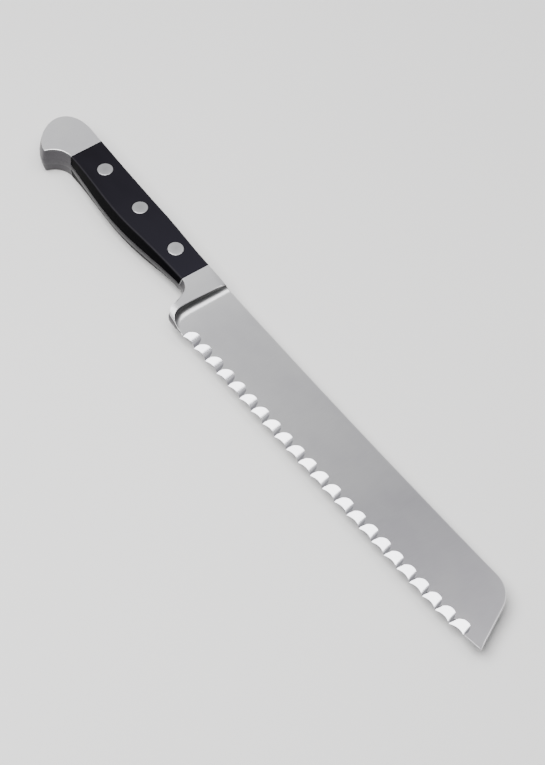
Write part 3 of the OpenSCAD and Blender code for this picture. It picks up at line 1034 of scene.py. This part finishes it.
# ---- scales ----
def scale_wall(xs, ys, way, bevel, top):
    """Rows of one long wall from the tang up to the flat side. way is the sign of y inwards."""
    rise = top - HALF_TANG - SCALE_TOE
    offsets, shares = wall_rows(bevel, rise, radius=0.5, support=0.2)
    rows = [np.column_stack([xs, ys + way * SCALE_TOE, np.full(len(xs), HALF_TANG)])]
    for offset, share in zip(offsets, shares):
        rows.append(np.column_stack([xs, ys + way * offset, HALF_TANG + SCALE_TOE + share * rise]))
    return rows


def with_end(points, way):
    """Adds an end's wall before the first line, slightly rounded. way is the sign of x inwards."""
    edge = points[0]
    foot = edge.copy()
    foot[:, 1] = np.clip(edge[:, 1], edge[0, 1], edge[-1, 1])
    foot[:, 2] = HALF_TANG
    wall = np.array([foot + (edge - foot) * share for share in (0.0, 0.5, 0.95)])
    body = points.copy()
    body[0, :, 0] += way * SCALE_END_R
    return np.concatenate([wall, body])


def build_scale(side, name, material):
    """One scale: side 1 is the right one."""
    xs = np.linspace(JOINT_P + SCALE_GAP, JOINT_B - SCALE_GAP, 130)
    top = half_z(xs)
    low_y = belly_y(xs) - belly_out(xs) + SCALE_INSET
    lower = scale_wall(xs, low_y, 1, belly_out(xs) - SCALE_INSET, top)
    upper = scale_wall(xs, spine_y(xs) - SCALE_INSET, -1, SPINE_BEVEL - SCALE_INSET, top)
    shares = np.linspace(0, 1, SCALE_ROWS + 2)[1:-1]
    middle = [lower[-1] * (1 - t) + upper[-1] * t for t in shares]
    points = np.array(lower + middle + upper[::-1]).transpose(1, 0, 2)
    points = with_end(with_end(points, 1)[::-1], -1)[::-1]
    points[..., 2] *= side
    flat = np.zeros(SCALE_ROWS)
    # painted highlight along the top edges, painted shade on the side walls
    painted_highlight = np.concatenate([[0], WALL_HIGHLIGHT * SCALE_HIGHLIGHT, flat, WALL_HIGHLIGHT[::-1] * SCALE_HIGHLIGHT, [0]])
    painted_shade = np.concatenate([[1], WALL_SHADE, flat, WALL_SHADE[::-1], [1]])
    out = Mesh()
    out.grid(points, painted_highlight, painted_shade=painted_shade)
    out.loop(np.concatenate([points[:, 0], points[-1, 1:-1], points[::-1, -1], points[0, -2:0:-1]]))
    return out.build(name, [material], SHARP_SCALE)


# ---- rivets and their bores ----
def lathe(profile, name, material, painted_highlight, centre, lean=0.0, segments=96, phase=0.0):
    """Turned piece from a line of (radius, z). The tops of heads lean with the handle."""
    out = Mesh()
    angles = np.linspace(0, 2 * np.pi, segments + 1)[:-1] + phase
    angles = np.append(angles, angles[0])
    radius, z = np.array(profile, float).T
    in_head = np.abs(z) > LEAN_ABOVE
    grid = []
    for a in angles:
        x = radius * math.cos(a)
        height = z + np.where(in_head, lean * x * np.sign(z), 0)
        grid.append(np.column_stack([centre[0] + x, centre[1] + radius * math.sin(a), height]))
    out.grid(np.array(grid), np.array(painted_highlight))
    return out.build(name, [material])


def rounded(points, radius, steps=4):
    """The same line with rounded inner corners."""
    line = [points[0]]
    for before, corner, after in zip(points, points[1:], points[2:]):
        b, c, a = np.array(before, float), np.array(corner, float), np.array(after, float)
        before_l, after_l = np.linalg.norm(b - c), np.linalg.norm(a - c)
        r = min(radius, 0.45 * before_l, 0.45 * after_l)
        s = c + (b - c) / before_l * r
        e = c + (a - c) / after_l * r
        for t in np.linspace(0, 1, steps + 1):
            line.append(tuple((1 - t) ** 2 * s + 2 * t * (1 - t) * c + t * t * e))
    return line + [points[-1]]


def rivet_half(name, side, head_r, top, stem, material, centre, lean):
    """One half of a rivet: its head with a small chamfer, and the profile of its stem or tube."""
    head = [(0.0, side * top), (head_r - CHAMFER_W, side * top), (head_r, side * (top - CHAMFER_H)),
            (head_r, side * HEAD_SEAT)]
    profile = rounded(head + stem, HEAD_ROUND)
    # painted highlight on the rim of the head
    painted_highlight = [HEAD_HIGHLIGHT if r > head_r - RIM_W and side * z > top - RIM_H else 0.0 for r, z in profile]
    return lathe(profile, name, material, painted_highlight, centre, lean)


def build_rivet(place, steel_look, bore_look):
    """Both halves of one rivet, and the tool that cuts its bore."""
    low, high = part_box("rivet_post_" + place)
    x = (low.x + high.x) / 2 / MM - ORIGIN[0]
    centre = (x, (low.y + high.y) / 2 / MM - ORIGIN[1])
    head_r = (high.x - low.x) / 2 / MM
    top = float(half_z(x)) - HEAD_SUNK
    lean = float(half_z(x + 0.5) - half_z(x - 0.5))
    stem_end = low.z / MM - ORIGIN[2]
    stem = [(STEM_R, HEAD_SEAT), (STEM_R, stem_end), (0.0, stem_end)]
    inner_r, bottom = STEM_R + STEM_PLAY, stem_end - STEM_GAP
    tube = [(TUBE_R, -HEAD_SEAT), (TUBE_R, TUBE_END), (inner_r, TUBE_END), (inner_r, bottom), (0.0, bottom)]
    post = rivet_half(f"rivet_post_{place}_look", 1, head_r, top, stem, steel_look, centre, lean)
    socket = rivet_half(f"rivet_socket_{place}_look", -1, head_r, top, tube, steel_look, centre, lean)
    wide, narrow = head_r + HEAD_PLAY, TUBE_R + BORE_PLAY
    bore = [(0.0, -CUTTER_H), (wide, -CUTTER_H), (wide, -HEAD_SEAT), (narrow, -HEAD_SEAT),
            (narrow, HEAD_SEAT), (wide, HEAD_SEAT), (wide, CUTTER_H), (0.0, CUTTER_H)]
    # turned a little, to keep its points off the lines of what it cuts
    cutter = lathe(bore, "cutter_" + place, bore_look, 0.0, centre, segments=90, phase=0.013)
    return post, socket, cutter


def cut_bores(piece, cutters):
    """Cuts the rivets' bores, with sharp edges, in the piece's own material."""
    for cutter in cutters:
        modifier = piece.modifiers.new("bore", "BOOLEAN")
        modifier.operation = "DIFFERENCE"
        modifier.solver = "MANIFOLD"
        modifier.object = cutter
    graph = bpy.context.evaluated_depsgraph_get()
    cut = bpy.data.meshes.new_from_object(piece.evaluated_get(graph))
    own = len(piece.data.materials)
    piece.modifiers.clear()
    piece.data = cut
    for face in cut.polygons:
        if face.material_index >= own:
            face.material_index = 0
    while len(cut.materials) > own:
        cut.materials.pop()
    bm = bmesh.new()
    bm.from_mesh(cut)
    weld(bm, MERGE_CUT)
    for edge in bm.edges:
        if len(edge.link_faces) == 2 and edge.calc_face_angle(0.0) > SHARP_BORE:
            edge.smooth = False
    bm.to_mesh(cut)
    bm.free()


# ---- the knife ----
blank = build_blank()
black = handle_polymer()
scale_right = build_scale(1, "scale_right_look", black)
scale_left = build_scale(-1, "scale_left_look", black)
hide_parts("forged_blank")
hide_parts("scale_right")
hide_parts("scale_left")

looks = [blank, scale_right, scale_left]
cutters = []
rivet_look = rivet_steel()
for place in ("rear", "middle", "front"):
    post, socket, cutter = build_rivet(place, rivet_look, black)
    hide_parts("rivet_post_" + place)
    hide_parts("rivet_socket_" + place)
    for piece in (post, socket):
        looks.append(piece)
    cutters.append(cutter)

bpy.context.view_layer.update()
for piece in (blank, scale_right, scale_left):
    cut_bores(piece, cutters)
for cutter in cutters:
    bpy.data.objects.remove(cutter)

for piece in looks:
    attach(piece, "root")


# ---- table, camera and light ----
def build_table():
    bm = bmesh.new()
    bmesh.ops.create_grid(bm, x_segments=8, y_segments=8, size=3.0)
    mesh = bpy.data.meshes.new("table")
    bm.to_mesh(mesh)
    bm.free()
    mesh.materials.append(table_material())
    table = add_to_scene("table", mesh)
    table.location = (0, 0, cad_low.z - FLOOR_GAP)
    return table


def aim(thing, way):
    """Turns a light or the camera along a way."""
    thing.rotation_mode = "QUATERNION"
    thing.rotation_quaternion = way.to_track_quat("-Z", "Y")


def add_camera(look_at, azimuth, elevation, distance):
    level = math.cos(elevation)
    back = Vector((math.sin(azimuth) * level, -math.cos(azimuth) * level, math.sin(elevation)))
    data = bpy.data.cameras.new("camera")
    data.lens = 158.0
    data.clip_start = 0.05
    camera = add_to_scene("camera", data)
    camera.location = look_at + back * distance
    aim(camera, -back)
    bpy.context.scene.camera = camera


def add_light(name, place, target, size_x, size_y, power):
    data = bpy.data.lights.new(name, "AREA")
    data.shape = "RECTANGLE"
    data.size, data.size_y, data.energy = size_x, size_y, power
    light = add_to_scene(name, data)
    light.location = place
    aim(light, Vector(target) - Vector(place))


def add_world():
    """Soft surroundings, darker on one side."""
    world = bpy.data.worlds.new("studio")
    bpy.context.scene.world = world
    world.use_nodes = True
    tree = world.node_tree
    tree.nodes.clear()
    across = between(tree, x_of(tree, "Generated"), 1.0, 0.0, -1.0, 1.0)
    sky = ramp(tree, across, [(0.3, (0.09, 0.09, 0.093)), (0.8, (0.42, 0.42, 0.435))])
    background = tree.nodes.new("ShaderNodeBackground")
    tree.links.new(sky, background.inputs["Color"])
    output = tree.nodes.new("ShaderNodeOutputWorld")
    tree.links.new(background.outputs["Background"], output.inputs["Surface"])


build_table()
LOOK_AT = Vector((0.00908, -0.00059, 0.0065))
PANEL_WAY = Vector((-0.5, 0.62, 0.6)).normalized()
add_camera(LOOK_AT, azimuth=math.radians(54.33), elevation=math.radians(50.23), distance=1.389)
add_light("overhead_softbox", (-0.07, -0.36, 0.9), (-0.07, -0.36, 0), 1.04, 0.88, power=20.0)
add_light("overhead_strip", (0.14, 0.37, 0.9), (0.14, 0.37, 0), 0.66, 0.4, power=3.15)
add_light("back_panel", PANEL_WAY * 1.1, (0, 0, 0), 1.6, 1.3, power=3.0)
add_world()
